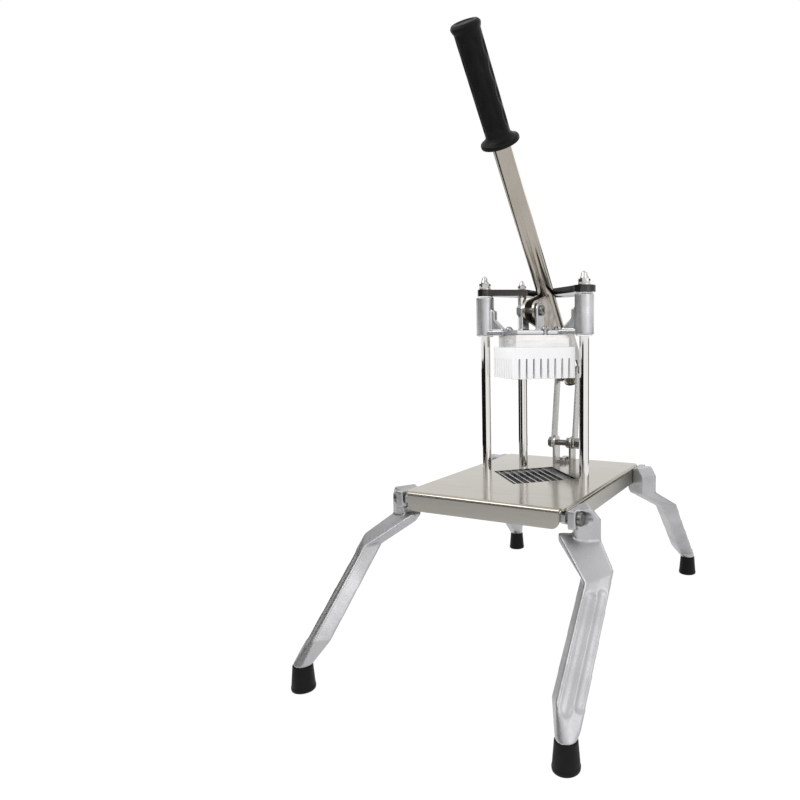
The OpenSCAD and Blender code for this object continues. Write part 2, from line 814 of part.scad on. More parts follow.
function grip_wall() = (grip_d - tube_d) / 2;

// A cheek: a three-cornered plate from the tube's front to the lever pivot
module cheek() {
    p = to_lever(pivot_y, pivot_z);
    color([0.66, 0.62, 0.57]) lever_frame() difference() {
        translate([cheek_in, 0, 0]) rotate([90, 0, 90]) linear_extrude(cheek_t)
            polygon(concat([[0, cheek_top]], ear_arc(p), [[0, cheek_low]]));
        translate([0, 0, -tail_end]) cylinder(h = cheek_top + 2 * tail_end, d = tube_d);
        translate([0, p[0], p[1]]) x_cylinder(pivot_d + 2 * run_fit, cheek_in - over, cheek_out + over);
    }
}

// A tail plate: it lies on the tube's side and bears the tail pin
module tail_plate() {
    r = tube_d / 2;
    color([0.72, 0.72, 0.71]) lever_frame() difference() {
        translate([tail_in, 0, 0]) rotate([90, 0, 90]) linear_extrude(tail_plate_t) polygon([
            [-r, -tail_end + r / 2], [-r / 2, -tail_end], [r / 2, -tail_end], [r, -tail_end + r / 2],
            [r + tail_wing, tail_wing_low], [r + tail_wing, tail_wing_top], [r / 2, tail_top], [-r, tail_top]]);
        tail_slot(tail_in - over, tail_out + over);
    }
}

// Points round the ear, between the tangents from the cheek's top and its low corner
function ear_arc(p) =
    let (up = tangent_turn(p, [0, cheek_top], 1), down = tangent_turn(p, [0, cheek_low], -1) + 360, n = 14)
    [for (i = [0 : n]) let (a = up + (down - up) * i / n) [p[0] + ear_r * cos(a), p[1] + ear_r * sin(a)]];

// Direction in which a line from q touches the ear's circle round p
function tangent_turn(p, q, side) =
    let (v = q - p, base = atan2(v[1], v[0]))
    base + side * acos(ear_r / norm(v));

module hand_grip() {
    low = lever_len - grip_len;
    wall = grip_wall();
    color([0.05, 0.05, 0.05]) lever_frame() translate([0, 0, low]) rotate_extrude() polygon([
        [tube_d / 2, 0], [collar_d / 2 - collar_edge, 0], [collar_d / 2, collar_edge],
        [collar_d / 2, collar_t - collar_edge], [collar_d / 2 - collar_edge, collar_t],
        [grip_d / 2 + grip_swell, collar_t + grip_swell], [grip_d / 2, collar_t + collar_edge + grip_swell],
        [grip_d / 2, grip_len - grip_end_t - grip_swell], [grip_end_d / 2 - grip_swell, grip_len - grip_end_t],
        [grip_end_d / 2, grip_len - grip_end_t + grip_swell], [grip_end_d / 2, grip_len - collar_edge],
        [grip_end_d / 2 - collar_edge, grip_len], [0, grip_len], [0, grip_len - wall],
        [tube_d / 2, grip_len - wall]]);
}

module tube_plug() {
    color([0.05, 0.05, 0.05]) lever_frame() translate([0, 0, -tail_end - plug_t]) {
        cylinder(h = plug_t, d = tube_d);
        cylinder(h = plug_t + tube_wall, d = tube_d - 2 * tube_wall);
    }
}

// A link from the bracket bolt up to the tail pin
module link() {
    rise = tail_z - link_z;
    run = tail_y - link_y;
    length = norm([rise, run]);
    color([0.78, 0.78, 0.77]) translate([0, link_y, link_z]) rotate([-atan2(run, rise), 0, 0]) difference() {
        union() {
            translate([link_in, -link_w / 2, 0]) cube([link_t, link_w, length]);
            for (z = [0, length]) translate([0, 0, z]) x_cylinder(link_w, link_in, link_out);
        }
        x_cylinder(link_hole + 2 * run_fit, link_in - over, link_out + over);
        translate([0, 0, length]) x_cylinder(tail_pin_d, link_in - over, link_out + over);
    }
}

module tail_pin() {
    color([0.62, 0.62, 0.62]) translate([0, tail_y, tail_z]) {
        x_cylinder(tail_pin_d, -link_out - pin_head_h, link_out + pin_head_h);
        for (s = [-1, 1]) scale([s, 1, 1]) x_cylinder(pin_head_d, link_out, link_out + pin_head_h);
    }
}

base_plate();
at_corner(-1, -1) leg();  // leg_front_left
at_corner(1, -1) leg();  // leg_front_right
at_corner(-1, 1) leg();  // leg_back_left
at_corner(1, 1) leg();  // leg_back_right
at_corner(-1, -1) foot();  // foot_front_left
at_corner(1, -1) foot();  // foot_front_right
at_corner(-1, 1) foot();  // foot_back_left
at_corner(1, 1) foot();  // foot_back_right
leg_bolts();
leg_nuts();
place_rod(0);  // guide_rod_left
place_rod(1);  // guide_rod_right
place_rod(2);  // back_rod
rod_base_washers();
rod_base_nuts();
tie_plate();
tie_washers();
cap_nuts();
blade_frame();
blades_upper();
blades_lower();
frame_studs();
frame_thumb_nuts();
link_bracket();
bracket_screws();
link_bolt();
link_bolt_nuts();
crosshead();
guide_bushes();
pusher_holder();
pusher_block();
holder_screws();
pivot_bolt();
pivot_nut();
lever_tube();
scale([-1, 1, 1]) cheek();  // lever_cheek_left
cheek();  // lever_cheek_right
scale([-1, 1, 1]) tail_plate();  // tail_plate_left
tail_plate();  // tail_plate_right
hand_grip();
tube_plug();
scale([-1, 1, 1]) link();  // link_left
link();  // link_right
tail_pin();
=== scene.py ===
import math

import bmesh
import bpy
from mathutils import Matrix, Vector


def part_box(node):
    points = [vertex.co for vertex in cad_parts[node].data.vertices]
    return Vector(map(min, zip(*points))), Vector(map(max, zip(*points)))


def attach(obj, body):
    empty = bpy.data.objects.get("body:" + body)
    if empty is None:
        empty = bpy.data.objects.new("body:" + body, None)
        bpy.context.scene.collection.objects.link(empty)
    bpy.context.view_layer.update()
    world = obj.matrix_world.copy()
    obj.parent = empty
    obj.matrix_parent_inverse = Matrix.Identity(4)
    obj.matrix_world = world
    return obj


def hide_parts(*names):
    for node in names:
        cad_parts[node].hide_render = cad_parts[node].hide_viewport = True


bl_info = {
    "name": "French fry cutter dresser",
    "version": (1, 0, 0),
    "blender": (4, 5, 0),
    "location": "View3D > Sidebar > Fry Cutter",
    "description": "Finishes the lever fry cutter: castings, steel, rubber, blades and studio",
    "category": "Object",
}

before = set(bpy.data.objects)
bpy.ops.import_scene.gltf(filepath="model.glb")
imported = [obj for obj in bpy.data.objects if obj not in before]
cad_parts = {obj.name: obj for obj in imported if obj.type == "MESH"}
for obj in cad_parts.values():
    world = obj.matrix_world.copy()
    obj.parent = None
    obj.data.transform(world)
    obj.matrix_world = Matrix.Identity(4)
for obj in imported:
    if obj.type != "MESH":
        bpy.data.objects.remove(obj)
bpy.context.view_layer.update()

# The lever's own line: its tail pin, its lean from upright and where the grip lies along it
TAIL_PIN = Vector((0.0, 0.124, 0.314))
LEVER_LEAN = math.radians(38.0)
GRIP_START = 0.323
GRIP_LENGTH = 0.121
TUBE_RADIUS = 0.011
LEG_NODES = ("leg_front_left", "leg_front_right", "leg_back_left", "leg_back_right")
FOOT_NODES = ("foot_front_left", "foot_front_right", "foot_back_left", "foot_back_right")

# The cheek on each leg's head, beside the plate's corner: its middle, as on the back right leg,
# and its size
CHEEK_MIDDLE = (0.10465, 0.12525, 0.1755)
CHEEK_SIZE = (0.0087, 0.0165, 0.0190)

# Cap nuts: the flats against the thread, then heights and radii as shares of the thread
FLATS_PER_THREAD = 1.625
HEXAGON_SHARE = 0.78
CHAMFER_SHARE = 0.05
DOME_BASE_SHARE = 0.66
DOME_TOP_SHARE = 0.46

# Points that lie closer than this are merged, in a CAD copy and in a turned shape
COPY_MERGE = 0.000002
TURNED_MERGE = 0.000004
# Degrees up to which faces count as flat, from which edges are rounded, and then shaded sharp
FLAT_UP_TO = 0.6
EASED_FROM = 28.0
SHARP_FROM = 35.0
# Steps in a rounded corner of an outline
CORNER_STEPS = 4

# The part of the finishes' mask that comes from the fine grain, and the span that is stretched
GRAIN_SHARE = 0.35
MASK_SPAN = (0.36, 0.64)

# Dark studio cards, each an arc about the cutter: name, first and last degree, counted from the
# back towards the left, low and high edge, colour
CARD_REACH = 0.80
CARDS = (
    ("card_left", 84.0, 150.0, 0.05, 0.31, (0.010, 0.009, 0.008)),
    ("card_front", 150.0, 190.0, 0.03, 0.35, (0.010, 0.009, 0.008)),
    ("card_high", 50.0, 84.0, 0.10, 0.29, (0.020, 0.018, 0.016)),
    ("card_top", 92.0, 166.0, 0.415, 0.78, (0.095, 0.090, 0.082)),
    ("card_nuts_left", 40.0, 92.0, 0.51, 0.62, (0.012, 0.011, 0.010)),
    ("card_nuts_right", -26.0, 8.0, 0.51, 0.62, (0.020, 0.018, 0.016)),
    ("card_right", -60.0, -24.0, 0.06, 0.36, (0.11, 0.10, 0.085)),
)

# The camera's place, its turns about Z, X and its own axis, its lens and its sideways shift
CAMERA_PLACE = (0.331, -0.711, 0.353)
CAMERA_TURNS = ((26.0, "Z"), (84.78, "X"), (-0.47, "Z"))
CAMERA_LENS = 28.62
CAMERA_SHIFT = -0.15


# Materials

def finish_group(name, outputs, inputs):
    """An empty shader group with named sockets, and its input and output nodes."""
    group = bpy.data.node_groups.new(name, "ShaderNodeTree")
    for label, kind, default in inputs:
        socket = group.interface.new_socket(label, in_out="INPUT", socket_type=kind)
        if default is not None:
            socket.default_value = default
    for label, kind in outputs:
        group.interface.new_socket(label, in_out="OUTPUT", socket_type=kind)
    return group, group.nodes.new("NodeGroupInput"), group.nodes.new("NodeGroupOutput")


def mixed_colour(nodes, links, factor, first, second):
    """A colour mix node between two colour sockets."""
    mix = nodes.new("ShaderNodeMix")
    mix.data_type = "RGBA"
    links.new(factor, mix.inputs[0])
    links.new(first, mix.inputs[6])
    links.new(second, mix.inputs[7])
    return mix.outputs[2]


def ranged(nodes, links, value, low, high):
    """Maps a 0 to 1 mask to the range between two sockets."""
    node = nodes.new("ShaderNodeMapRange")
    links.new(value, node.inputs["Value"])
    links.new(low, node.inputs["To Min"])
    links.new(high, node.inputs["To Max"])
    return node.outputs["Result"]


def surface_group():
    """Grain that every finish shares: a broad mottle in the colour, a fine grain in the gloss."""
    name = "Mottled surface"
    if name in bpy.data.node_groups:
        return bpy.data.node_groups[name]
    group, inner, outer = finish_group(
        name,
        (("Color", "NodeSocketColor"),
         ("Roughness", "NodeSocketFloat"),
         ("Height", "NodeSocketFloat")),
        (("Vector", "NodeSocketVector", None),
         ("Pale", "NodeSocketColor", (0.8, 0.8, 0.8, 1.0)),
         ("Dark", "NodeSocketColor", (0.6, 0.6, 0.6, 1.0)),
         ("Mottle Scale", "NodeSocketFloat", 20.0),
         ("Grain Scale", "NodeSocketFloat", 900.0),
         ("Smooth", "NodeSocketFloat", 0.2),
         ("Rough", "NodeSocketFloat", 0.4)))
    nodes, links = group.nodes, group.links
    mottle = nodes.new("ShaderNodeTexNoise")
    mottle.inputs["Detail"].default_value = 4.0
    grain = nodes.new("ShaderNodeTexNoise")
    grain.inputs["Detail"].default_value = 3.0
    links.new(inner.outputs["Vector"], mottle.inputs["Vector"])
    links.new(inner.outputs["Vector"], grain.inputs["Vector"])
    links.new(inner.outputs["Mottle Scale"], mottle.inputs["Scale"])
    links.new(inner.outputs["Grain Scale"], grain.inputs["Scale"])
    both = nodes.new("ShaderNodeMath")
    both.operation = "MULTIPLY_ADD"
    both.inputs[1].default_value = GRAIN_SHARE
    links.new(grain.outputs["Fac"], both.inputs[0])
    scaled = nodes.new("ShaderNodeMath")
    scaled.operation = "MULTIPLY"
    scaled.inputs[1].default_value = 1.0 - GRAIN_SHARE
    links.new(mottle.outputs["Fac"], scaled.inputs[0])
    links.new(scaled.outputs["Value"], both.inputs[2])
    steep = nodes.new("ShaderNodeMapRange")
    steep.inputs["From Min"].default_value = MASK_SPAN[0]
    steep.inputs["From Max"].default_value = MASK_SPAN[1]
    links.new(both.outputs["Value"], steep.inputs["Value"])
    mask = steep.outputs["Result"]
    links.new(mixed_colour(nodes, links, mask, inner.outputs["Dark"], inner.outputs["Pale"]),
              outer.inputs["Color"])
    links.new(ranged(nodes, links, mask, inner.outputs["Rough"], inner.outputs["Smooth"]),
              outer.inputs["Roughness"])
    links.new(grain.outputs["Fac"], outer.inputs["Height"])
    return group


def finish(name, pale, dark, smooth, rough, metallic=1.0, mottle=20.0, grain=900.0,
           stretch=(1.0, 1.0, 1.0), turn=(0.0, 0.0, 0.0), relief=0.00003, spec=0.5):
    """A finished material: the shared mottle and grain, stretched along the piece's working
    direction, between a smooth pale state and a rough dark one."""
    if name in bpy.data.materials:
        return bpy.data.materials[name]
    material = bpy.data.materials.new(name)
    material.use_nodes = True
    nodes, links = material.node_tree.nodes, material.node_tree.links
    shader = nodes["Principled BSDF"]
    shader.inputs["Metallic"].default_value = metallic
    shader.inputs["Specular IOR Level"].default_value = spec
    place = nodes.new("ShaderNodeTexCoord")
    mapping = nodes.new("ShaderNodeMapping")
    mapping.inputs["Scale"].default_value = stretch
    mapping.inputs["Rotation"].default_value = turn
    links.new(place.outputs["Object"], mapping.inputs["Vector"])
    surface = nodes.new("ShaderNodeGroup")
    surface.node_tree = surface_group()
    links.new(mapping.outputs["Vector"], surface.inputs["Vector"])
    for socket, value in (("Pale", (*pale, 1.0)), ("Dark", (*dark, 1.0)), ("Mottle Scale", mottle),
                          ("Grain Scale", grain), ("Smooth", smooth), ("Rough", rough)):
        surface.inputs[socket].default_value = value
    links.new(surface.outputs["Color"], shader.inputs["Base Color"])
    links.new(surface.outputs["Roughness"], shader.inputs["Roughness"])
    bump = nodes.new("ShaderNodeBump")
    bump.inputs["Distance"].default_value = relief
    bump.inputs["Strength"].default_value = 1.0
    links.new(surface.outputs["Height"], bump.inputs["Height"])
    links.new(bump.outputs["Normal"], shader.inputs["Normal"])
    return material


def shaded_below(material, level, blend, painted_shading, rough=None):
    """Paints light or shade below a height in the part's frame by multiplying the colour there,
    paler for a factor above one and darker below, and may dull it there.
    """
    nodes, links = material.node_tree.nodes, material.node_tree.links
    place = next(node for node in nodes if node.type == "TEX_COORD")
    surface = next(node for node in nodes if node.type == "GROUP")
    split = nodes.new("ShaderNodeSeparateXYZ")
    links.new(place.outputs["Object"], split.inputs["Vector"])
    under = nodes.new("ShaderNodeMapRange")
    under.inputs["From Min"].default_value = level + blend
    under.inputs["From Max"].default_value = level - blend
    links.new(split.outputs["Z"], under.inputs["Value"])
    tone = nodes.new("ShaderNodeMix")
    tone.data_type = "RGBA"
    tone.blend_type = "MULTIPLY"
    tone.inputs[7].default_value = (*painted_shading, 1.0)
    links.new(under.outputs["Result"], tone.inputs[0])
    links.new(surface.outputs["Color"], tone.inputs[6])
    links.new(tone.outputs[2], nodes["Principled BSDF"].inputs["Base Color"])
    if rough is not None:
        dull = nodes.new("ShaderNodeMix")
        dull.data_type = "FLOAT"
        dull.inputs[3].default_value = rough
        links.new(under.outputs["Result"], dull.inputs[0])
        links.new(surface.outputs["Roughness"], dull.inputs[2])
        links.new(dull.outputs[0], nodes["Principled BSDF"].inputs["Roughness"])
    return material


def seen_directly(nodes, links):
    """A Light Path node, and a mask of the rays that come from the camera or a glossy surface."""
    path = nodes.new("ShaderNodeLightPath")
    seen = nodes.new("ShaderNodeMath")
    seen.operation = "MAXIMUM"
    links.new(path.outputs["Is Camera Ray"], seen.inputs[0])
    links.new(path.outputs["Is Glossy Ray"], seen.inputs[1])
    return path, seen.outputs["Value"]


def tinted(colour, share):
    """A colour made paler or darker by one share, up to white."""
    return tuple(min(1.0, part * share) for part in colour[:3])


# Shapes

def object_from(bm, name):
    """Turns a bmesh into an object of the scene, and frees the bmesh."""
    mesh = bpy.data.meshes.new(name)
    bm.to_mesh(mesh)
    bm.free()
    piece = bpy.data.objects.new(name, mesh)
    bpy.context.scene.collection.objects.link(piece)
    return piece


def smooth_up_to(piece, degrees):
    """Smooth shading, with the sharper edges kept crisp."""
    piece.data.polygons.foreach_set("use_smooth", [True] * len(piece.data.polygons))
    piece.data.set_sharp_from_angle(angle=math.radians(degrees))


def node_copy(node):
    """A bmesh copy of a CAD node, with its loose triangles merged into closed solids."""
    bm = bmesh.new()
    bm.from_mesh(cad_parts[node].data)
    bmesh.ops.remove_doubles(bm, verts=bm.verts, dist=COPY_MERGE)
    return bm


def baked(piece):
    """Applies a piece's modifiers to its mesh."""
    depsgraph = bpy.context.evaluated_depsgraph_get()
    mesh = bpy.data.meshes.new_from_object(piece.evaluated_get(depsgraph))
    piece.modifiers.clear()
    old = piece.data
    piece.data = mesh
    bpy.data.meshes.remove(old)


def soft_casting(node, name, cell, passes, *blocks):
    """A casting's skin: the node's own form, with any blocks added, and every edge worn soft."""
    bm = node_copy(node)
    for middle, size in blocks:
        bmesh.ops.create_cube(bm, size=1.0, matrix=Matrix.Translation(middle)
                              @ Matrix.Diagonal((*size, 1.0)))
    piece = object_from(bm, name)
    skin = piece.modifiers.new("Skin", "REMESH")
    skin.mode = "VOXEL"
    skin.voxel_size = cell
    skin.use_smooth_shade = True
    soft = piece.modifiers.new("Soft edges", "SMOOTH")
    soft.factor = 0.5
    soft.iterations = passes
    baked(piece)
    return piece


def eased_copy(node, name, width, segments=2, shortest=0.0):
    """A copy of a CAD node with its sharp edges rounded by a small radius.

    With a shortest length given, only outer edges longer than that are rounded.
    """
    bm = node_copy(node)
    bmesh.ops.dissolve_limit(bm, angle_limit=math.radians(FLAT_UP_TO), verts=bm.verts,
                             edges=bm.edges)
    limit = math.radians(EASED_FROM)
    edges = [edge for edge in bm.edges
             if len(edge.link_faces) == 2 and edge.calc_face_angle(0.0) > limit
             and (not shortest or (edge.is_convex and edge.calc_length() > shortest))]
    bmesh.ops.bevel(bm, geom=edges, offset=width, offset_type="OFFSET", segments=segments,
                    profile=0.5, affect="EDGES", clamp_overlap=True, material=-1)
    piece = object_from(bm, name)
    smooth_up_to(piece, SHARP_FROM)
    flat = piece.modifiers.new("Flat faces", "WEIGHTED_NORMAL")
    flat.weight = 100
    flat.keep_sharp = True
    baked(piece)
    return piece


def solids_of(node):
    """The low and high corner of each separate solid in a CAD node."""
    bm = node_copy(node)
    met, boxes = set(), []
    for start in bm.verts:
        if start in met:
            continue
        met.add(start)
        waiting, places = [start], []
        while waiting:
            vert = waiting.pop()
            places.append(vert.co)
            for edge in vert.link_edges:
                other = edge.other_vert(vert)
                if other not in met:
                    met.add(other)
                    waiting.append(other)
        boxes.append(tuple(Vector(pick(place[k] for place in places) for k in range(3))
                           for pick in (min, max)))
    bm.free()
    return boxes


def add_shape(bm, part):
    """Adds one bmesh's shape to another."""
    mesh = bpy.data.meshes.new("part")
    part.to_mesh(mesh)
    part.free()
    bm.from_mesh(mesh)
    bpy.data.meshes.remove(mesh)


def turned(outline, steps, place=Matrix.Identity(4)):
    """A bmesh turned from an outline of (radius, height) about the Z axis, then put in place."""
    bm = bmesh.new()
    verts = [bm.verts.new((radius, 0.0, height)) for radius, height in outline]
    edges = [bm.edges.new(pair) for pair in zip(verts, verts[1:])]
    bmesh.ops.spin(bm, geom=verts + edges, cent=(0.0, 0.0, 0.0), axis=(0.0, 0.0, 1.0),
                   angle=math.tau, steps=steps, use_merge=True)
    bmesh.ops.remove_doubles(bm, verts=bm.verts, dist=TURNED_MERGE)
    bmesh.ops.recalc_face_normals(bm, faces=bm.faces)
    bmesh.ops.transform(bm, matrix=place, verts=bm.verts)
    return bm


def rounded(points, radius):
    """An outline whose corners, but for its two ends, are short curves of about one radius."""
    result = [points[0]]
    for before, corner, after in zip(points, points[1:], points[2:]):
        b, c, a = Vector(before), Vector(corner), Vector(after)
        reach = min(radius, (b - c).length * 0.45, (a - c).length * 0.45)
        start, end = c + (b - c).normalized() * reach, c + (a - c).normalized() * reach
        for k in range(CORNER_STEPS + 1):
            t = k / CORNER_STEPS
            result.append(tuple((1 - t) ** 2 * start + 2 * t * (1 - t) * c + t * t * end))
    result.append(points[-1])
    return result


def lever_place():
    """Where the lever's own frame lies: its tail pin at the origin and the tube along +Z."""
    return Matrix.Translation(TAIL_PIN) @ Matrix.Rotation(LEVER_LEAN, 4, "X")


def settle(piece, body, slot, material, *nodes):
    """Gives a finished piece its material and body, and hides the CAD nodes that it stands for; the
    slot is not used.
    """
    piece.data.materials.clear()
    piece.data.materials.append(material)
    if nodes:
        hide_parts(*nodes)
    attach(piece, body)


def dress(material, *nodes):
    """Gives CAD nodes whose shape is right a finished material."""
    for node in nodes:
        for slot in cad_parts[node].material_slots:
            slot.material = material


# Settings

class CastingSettings(bpy.types.PropertyGroup):
    colour: bpy.props.FloatVectorProperty(
        name="Casting colour", description="Colour of the tumbled aluminium castings",
        subtype="COLOR", size=3, min=0.0, max=1.0, default=(0.50, 0.50, 0.51))
    cell: bpy.props.FloatProperty(
        name="Skin cell", description="Cell size of the castings' softened skin",
        unit="LENGTH", subtype="DISTANCE", min=0.0006, max=0.003, default=0.0011)
    passes: bpy.props.IntProperty(
        name="Edge wear", description="Smoothing passes that wear the castings' edges soft",
        min=1, max=20, default=7)
    head_cell: bpy.props.FloatProperty(
        name="Crosshead cell", description="Cell size of the crosshead's softened skin",
        unit="LENGTH", subtype="DISTANCE", min=0.0006, max=0.003, default=0.0009)
    head_passes: bpy.props.IntProperty(
        name="Crosshead wear", description="Smoothing passes that wear the crosshead's edges soft",
        min=1, max=20, default=4)


class SteelSettings(bpy.types.PropertyGroup):
    sheet_colour: bpy.props.FloatVectorProperty(
        name="Sheet colour", description="Colour of the polished base plate",
        subtype="COLOR", size=3, min=0.0, max=1.0, default=(0.43, 0.40, 0.345))
    rod_colour: bpy.props.FloatVectorProperty(
        name="Rod colour", description="Colour of the polished guide rods",
        subtype="COLOR", size=3, min=0.0, max=1.0, default=(0.80, 0.79, 0.77))
    tube_colour: bpy.props.FloatVectorProperty(
        name="Lever colour", description="Colour of the lever tube",
        subtype="COLOR", size=3, min=0.0, max=1.0, default=(0.43, 0.395, 0.345))
    edge: bpy.props.FloatProperty(
        name="Edge radius", description="Radius on the edges of plates and machined pieces",
        unit="LENGTH", subtype="DISTANCE", min=0.0001, max=0.001, default=0.0004)


class GripSettings(bpy.types.PropertyGroup):
    colour: bpy.props.FloatVectorProperty(
        name="Rubber colour", description="Colour of the grip and the feet",
        subtype="COLOR", size=3, min=0.0, max=1.0, default=(0.005, 0.005, 0.0052))
    rows: bpy.props.IntProperty(
        name="Dimple rows", description="Rows of long dimples round the grip",
        min=4, max=14, default=8)
    per_row: bpy.props.IntProperty(
        name="Dimples in a row", description="Dimples along each row", min=2, max=8, default=4)
    depth: bpy.props.FloatProperty(
        name="Dimple depth", description="Depth of a dimple",
        unit="LENGTH", subtype="DISTANCE", min=0.0, max=0.002, default=0.0014)


class StudioSettings(bpy.types.PropertyGroup):
    floor_colour: bpy.props.FloatVectorProperty(
        name="Floor colour", description="Colour of the studio floor",
        subtype="COLOR", size=3, min=0.0, max=1.0, default=(0.90, 0.90, 0.90))
    key: bpy.props.FloatProperty(
        name="Key light", description="Power of the large soft light", unit="POWER", min=0.0,
        max=200.0, default=9.0)
    fill: bpy.props.FloatProperty(
        name="Fill light", description="Power of the soft light on the other side", unit="POWER",
        min=0.0, max=200.0, default=4.0)
    back: bpy.props.FloatProperty(
        name="Back light", description="Power of the soft light behind the cutter", unit="POWER",
        min=0.0, max=200.0, default=4.0)


# Operators

class FRYCUTTER_OT_legs(bpy.types.Operator):
    """Soften the four cast legs and give them a tumbled aluminium finish"""
    bl_idname = "frycutter.legs"
    bl_label = "Cast legs"

    def execute(self, context):
        settings = context.scene.frycutter_casting
        pale = tuple(settings.colour)
        cast = finish("Tumbled leg casting", pale, tinted(pale, 0.86), smooth=0.34, rough=0.48,
                      mottle=26.0, grain=700.0, relief=0.00010)
        for node in LEG_NODES:
            low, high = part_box(node)
            side = math.copysign(1.0, low[0] + high[0])
            end = math.copysign(1.0, low[1] + high[1])
            middle = (side * CHEEK_MIDDLE[0], end * CHEEK_MIDDLE[1], CHEEK_MIDDLE[2])
            leg = soft_casting(node, node + "_casting", settings.cell, settings.passes,
                               (middle, CHEEK_SIZE))
            settle(leg, "base", "cast_leg", cast, node)
        return {"FINISHED"}


class FRYCUTTER_OT_crosshead(bpy.types.Operator):
    """Soften the crosshead casting and give it a bright tumbled finish"""
    bl_idname = "frycutter.crosshead"
    bl_label = "Cast crosshead"

    def execute(self, context):
        settings = context.scene.frycutter_casting
        pale = tinted(settings.colour, 1.26)
        cast = finish("Tumbled crosshead casting", pale, tinted(pale, 0.80), smooth=0.24,
                      rough=0.38, mottle=40.0, grain=900.0, relief=0.00008)
        head = soft_casting("crosshead", "crosshead_casting", settings.head_cell,
                            settings.head_passes)
        settle(head, "head", "cast_head", cast, "crosshead")
        return {"FINISHED"}


class FRYCUTTER_OT_feet(bpy.types.Operator):
    """Make the four moulded rubber feet with their rounded lips"""
    bl_idname = "frycutter.feet"
    bl_label = "Rubber feet"

    def execute(self, context):
        colour = tuple(context.scene.frycutter_grip.colour)
        rubber = finish("Foot rubber", tinted(colour, 1.3), colour, smooth=0.42, rough=0.62,
                        metallic=0.0, mottle=60.0, grain=1500.0, relief=0.00006, spec=0.14)
        for node in FOOT_NODES:
            low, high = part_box(node)
            middle = ((low[0] + high[0]) / 2, (low[1] + high[1]) / 2)
            wide, tall = (high[0] - low[0]) / 2, high[2] - low[2]
            top, socket, hollow, ease = wide * 0.80, 0.0077, 0.0012, 0.0009
            sole = [(0.0, hollow), (wide * 0.62, hollow), (wide * 0.66, 0.0),
                    (wide - 0.0004, 0.0), (wide, 0.0030), (wide - 0.0006, 0.0050)]
            lip = [(top + 0.0004, tall - 0.0030), (top + 0.0002, tall), (socket, tall),
                   (socket, tall * 0.5), (0.0, tall * 0.5)]
            outline = rounded(sole + lip, ease)
            foot = object_from(turned(outline, 72, Matrix.Translation((*middle, 0.0))),
                               node + "_rubber")
            smooth_up_to(foot, 40.0)
            settle(foot, "base", "black_rubber", rubber, node)
        return {"FINISHED"}


class FRYCUTTER_OT_sheet_metal(bpy.types.Operator):
    """Finish the polished base plate, its bracket, the tie plate, links, cheeks and tail plates"""
    bl_idname = "frycutter.sheet_metal"
    bl_label = "Sheet metal"

    def execute(self, context):
        settings = context.scene.frycutter_steel
        sheet = tuple(settings.sheet_colour)
        edge, bar_edge = settings.edge, settings.edge * 1.6
        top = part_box("base_plate")[1][2]
        steel = finish("Polished base sheet", tinted(sheet, 1.04), tinted(sheet, 0.92),
                       smooth=0.10, rough=0.17, mottle=9.0, grain=260.0,
                       stretch=(0.12, 1.0, 1.0), relief=0.000006)
        # Painted light: below the top, the flanges are painted paler and bluer than the top for the
        # light they catch. They are also made rougher.
        dress(shaded_below(steel, level=top - 0.0030, blend=0.0012, painted_shading=(1.10, 1.14, 1.20),
                           rough=0.34), "base_plate")
        bracket = finish("Bracket steel", (0.62, 0.61, 0.58), (0.50, 0.49, 0.47), smooth=0.20,
                         rough=0.32, mottle=60.0, grain=1200.0, stretch=(1.0, 1.0, 0.1),
                         relief=0.00001)
        tie = finish("Tie plate steel", (0.075, 0.073, 0.070), (0.040, 0.039, 0.038),
                     smooth=0.16, rough=0.28, mottle=50.0, grain=900.0, stretch=(0.15, 1.0, 1.0),
                     relief=0.00001)
        link = finish("Link steel", (0.66, 0.66, 0.65), (0.52, 0.52, 0.51), smooth=0.22,
                      rough=0.36, mottle=50.0, grain=1200.0, stretch=(1.0, 1.0, 0.08),
                      relief=0.00001)
        cheek = finish("Cheek steel", (0.52, 0.48, 0.43), (0.34, 0.31, 0.27), smooth=0.24,
                       rough=0.40, mottle=90.0, grain=1300.0, relief=0.00003)
        tail = finish("Tail plate steel", (0.62, 0.61, 0.59), (0.48, 0.47, 0.45), smooth=0.24,
                      rough=0.38, mottle=60.0, grain=1200.0, relief=0.00002)
        rows = (("link_bracket", "base", "polished_sheet", bracket, edge),
                ("tie_plate", "base", "tie_plate", tie, bar_edge),
                ("link_left", "links", "link_steel", link, edge),
                ("link_right", "links", "link_steel", link, edge),
                ("lever_cheek_left", "lever", "polished_sheet", cheek, edge),
                ("lever_cheek_right", "lever", "polished_sheet", cheek, edge),
                ("tail_plate_left", "lever", "link_steel", tail, edge),
                ("tail_plate_right", "lever", "link_steel", tail, edge))
        for node, body, slot, material, width in rows:
            settle(eased_copy(node, node + "_plate", width), body, slot, material, node)
        return {"FINISHED"}


